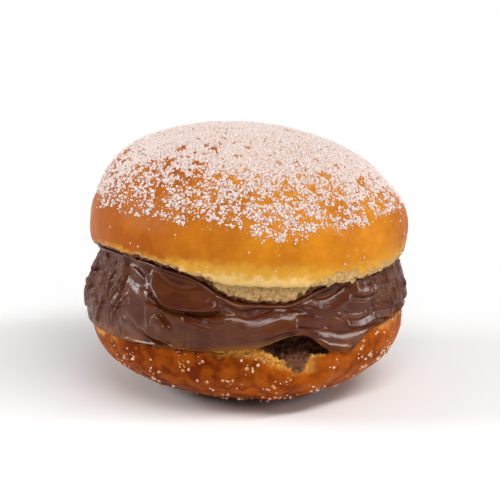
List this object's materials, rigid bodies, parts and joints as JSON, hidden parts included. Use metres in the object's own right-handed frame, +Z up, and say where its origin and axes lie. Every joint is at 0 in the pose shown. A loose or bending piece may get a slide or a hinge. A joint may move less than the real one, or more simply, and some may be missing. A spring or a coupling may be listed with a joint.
{
  "type": "chocolate cream filled doughnut",
  "caption": "Round raised doughnut without a hole, cut level and filled with a thick layer of glossy chocolate cream, its domed top dusted with sugar.",
  "frame": {"origin": "under the middle of the doughnut, on the surface that it stands on", "axes": "+Z up through both halves, -Y towards the front, where the crumb hangs below the cut, and +X to the right of someone facing the front"},
  "size_m": [0.091, 0.089, 0.0731],
  "materials": {
    "crust": "golden brown fried crust, satin, with a pale band above the cut",
    "dark_crust": "darker red-brown fried crust, satin",
    "cream": "thick glossy chocolate cream"
  },
  "bodies": {
    "root": {"bun_lower_half": "dark_crust", "chocolate_cream": "cream", "bun_upper_half": "crust"}
  },
  "joints": []
}
